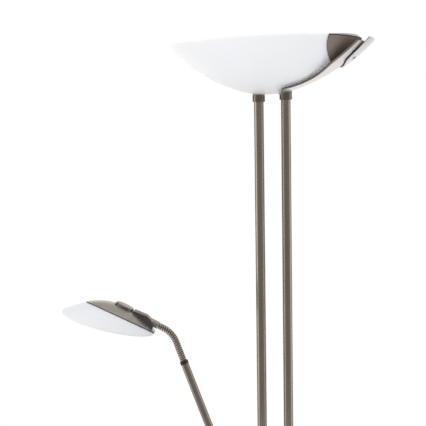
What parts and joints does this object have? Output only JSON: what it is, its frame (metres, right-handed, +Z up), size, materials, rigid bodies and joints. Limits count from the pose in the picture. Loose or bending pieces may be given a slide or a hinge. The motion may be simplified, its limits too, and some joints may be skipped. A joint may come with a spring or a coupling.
{
  "type": "torchiere floor lamp with reading light",
  "caption": "Floor lamp on a round base with twin slim poles, an uplight glass bowl with overlapping metal leaves and a reading head with a metal leaf on a ribbed gooseneck arm.",
  "frame": {"origin": "on the floor, midway between the two poles, in the middle of the round base's underside", "axes": "+Z up, -Y the front with the dimmer knobs, +X towards the bowl's metal leaves, -X towards the reading head"},
  "size_m": [0.5155, 0.3062, 1.8099],
  "materials": {
    "nickel_pole": "satin antique nickel",
    "nickel_leaf": "satin antique nickel",
    "nickel_fitting": "satin antique nickel",
    "nickel_cover": "satin antique nickel",
    "neck_metal": "bright antique nickel",
    "opal_glass": "satin opal",
    "clear_glass": "clear",
    "lamp_glass": "clear, warm",
    "iron": "raw, dark",
    "felt": "felt",
    "zinc_steel": "zinc plated",
    "spring_steel": "plain",
    "reflector_aluminium": "bright",
    "ceramic": "unglazed",
    "black_rubber": "matt",
    "silicone": "matt",
    "knob_plastic": "fine matt",
    "housing_plastic": "fine matt",
    "board_laminate": "laminate",
    "friction_plastic": "matt"
  },
  "bodies": {
    "stand": {"base_pad": "felt", "base_cover": "nickel_cover", "base_weight": "iron", "base_washers": "zinc_steel", "base_nuts": "zinc_steel", "base_studs": "zinc_steel", "base_collars": "nickel_fitting", "cord_inlet": "black_rubber", "poles_lower": "nickel_pole", "poles_middle": "nickel_pole", "poles_upper": "nickel_pole", "pole_joiners": "nickel_fitting", "pole_plugs": "zinc_steel", "bowl_glass": "opal_glass", "bowl_inner_leaf": "nickel_leaf", "bowl_under_leaf": "nickel_leaf", "bowl_tip_leaf": "nickel_leaf", "tip_leaf_spacers": "nickel_fitting", "tip_leaf_screws": "nickel_fitting", "leaf_rivets": "nickel_fitting", "left_top_collar": "nickel_fitting", "right_top_collar": "nickel_fitting", "bowl_gaskets": "silicone", "bowl_studs": "zinc_steel", "bowl_sleeves": "zinc_steel", "bowl_nuts": "zinc_steel", "lamp_plate": "zinc_steel", "reflector": "reflector_aluminium", "lampholders": "ceramic", "linear_lamp": "lamp_glass", "lamp_pane": "clear_glass", "pane_clips": "spring_steel", "dimmer_housing_front": "housing_plastic", "dimmer_housing_back": "housing_plastic", "dimmer_screws": "zinc_steel", "dimmer_board": "board_laminate", "dimmer_pots": "spring_steel", "stop_rings": "nickel_fitting", "stop_ring_screws": "zinc_steel"},
    "collar": {"arm_collar": "nickel_fitting", "friction_washers": "friction_plastic"},
    "arm": {"arm_foot": "nickel_fitting", "pivot_screw": "nickel_fitting", "arm_tube": "nickel_pole", "arm_ferrule": "nickel_fitting", "gooseneck": "neck_metal"},
    "clamp": {"clamp_knob": "knob_plastic"},
    "head": {"head_glass": "opal_glass", "head_leaf": "nickel_leaf", "neck_bracket": "nickel_fitting", "neck_connector": "nickel_fitting", "head_cap": "nickel_fitting", "head_nipple": "zinc_steel", "head_gasket": "silicone", "head_reflector": "reflector_aluminium", "head_nut": "zinc_steel", "head_lampholder": "ceramic", "head_lamp": "lamp_glass"},
    "uplight_knob": {"uplight_dimmer_knob": "knob_plastic"},
    "reading_knob": {"reading_dimmer_knob": "knob_plastic"}
  },
  "joints": [
    {"name": "arm_swivel", "type": "hinge", "parent": "stand", "child": "collar", "pos_m": [-0.022, 0, 1.001], "axis": [0, 0, 1], "range_deg": [-110, 110]},
    {"name": "arm_tilt", "type": "hinge", "parent": "collar", "child": "arm", "pos_m": [-0.048, 0, 1.001], "axis": [0, -1, 0], "range_deg": [-15, 60]},
    {"name": "clamp_turn", "type": "hinge", "parent": "arm", "child": "clamp", "pos_m": [-0.048, -0.015, 1.001], "axis": [0, -1, 0], "range_deg": [0, 90]},
    {"name": "neck_bend", "type": "hinge", "parent": "arm", "child": "head", "pos_m": [-0.17132, 0, 1.32607], "axis": [0, -1, 0], "range_deg": [-30, 30], "deforming": ["gooseneck"]},
    {"name": "uplight_dimmer", "type": "hinge", "parent": "stand", "child": "uplight_knob", "pos_m": [-0.0145, -0.025, 0.943], "axis": [0, -1, 0], "range_deg": [-135, 135]},
    {"name": "reading_dimmer", "type": "hinge", "parent": "stand", "child": "reading_knob", "pos_m": [0.0145, -0.025, 0.943], "axis": [0, -1, 0], "range_deg": [-135, 135]}
  ]
}
